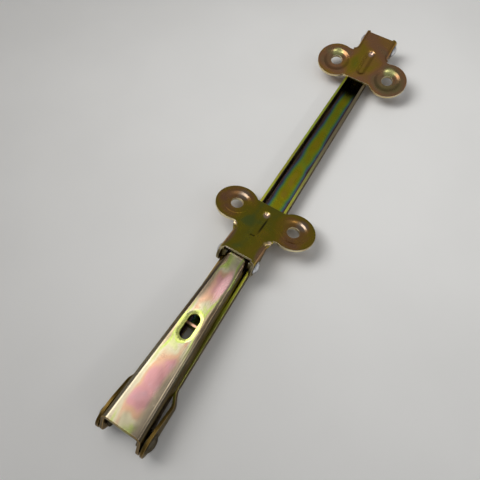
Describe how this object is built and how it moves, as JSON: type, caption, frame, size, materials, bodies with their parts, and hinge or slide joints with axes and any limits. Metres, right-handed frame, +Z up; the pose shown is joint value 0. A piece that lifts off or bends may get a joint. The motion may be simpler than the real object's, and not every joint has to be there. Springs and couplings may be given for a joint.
{
  "type": "folding hood support",
  "caption": "Folding stay of two pressed channel arms riveted at an elbow, with a lobed screw-on bracket hinged at each free end; holds a hood open and folds flat.",
  "frame": {"origin": "middle of the folded stay's box, on the surface it lies on", "axes": "+X from the elbow to the far end, +Y to the left, +Z up, away from the long arm's flat back"},
  "size_m": [0.2926, 0.0606, 0.0224],
  "materials": {
    "plated": "yellow passivated zinc plating with iridescent bands",
    "bare": "bright zinc"
  },
  "bodies": {
    "long_arm": {"long_arm": "plated", "elbow_rivet_left": "bare", "elbow_rivet_right": "bare", "elbow_washer_left": "bare", "elbow_washer_right": "bare", "body_rivet_left": "bare", "body_rivet_right": "bare", "body_sleeve_left": "bare", "body_sleeve_right": "bare"},
    "short_arm": {"short_arm": "plated", "hood_rivet_left": "bare", "hood_rivet_right": "bare", "hood_sleeve_left": "bare", "hood_sleeve_right": "bare"},
    "hood_bracket": {"hood_bracket": "plated"},
    "body_bracket": {"body_bracket": "plated"}
  },
  "joints": [
    {"name": "elbow", "type": "hinge", "parent": "long_arm", "child": "short_arm", "pos_m": [-0.1393, 0, 0.0095], "axis": [0, -1, 0], "range_deg": [0, 175]},
    {"name": "hood_pivot", "type": "hinge", "parent": "short_arm", "child": "hood_bracket", "pos_m": [-0.04193, 0, 0.01141], "axis": [0, -1, 0], "range_deg": [0, 22]},
    {"name": "body_pivot", "type": "hinge", "parent": "long_arm", "child": "body_bracket", "pos_m": [0.1407, 0, 0.0088], "axis": [0, 1, 0], "range_deg": [0, 120]}
  ]
}
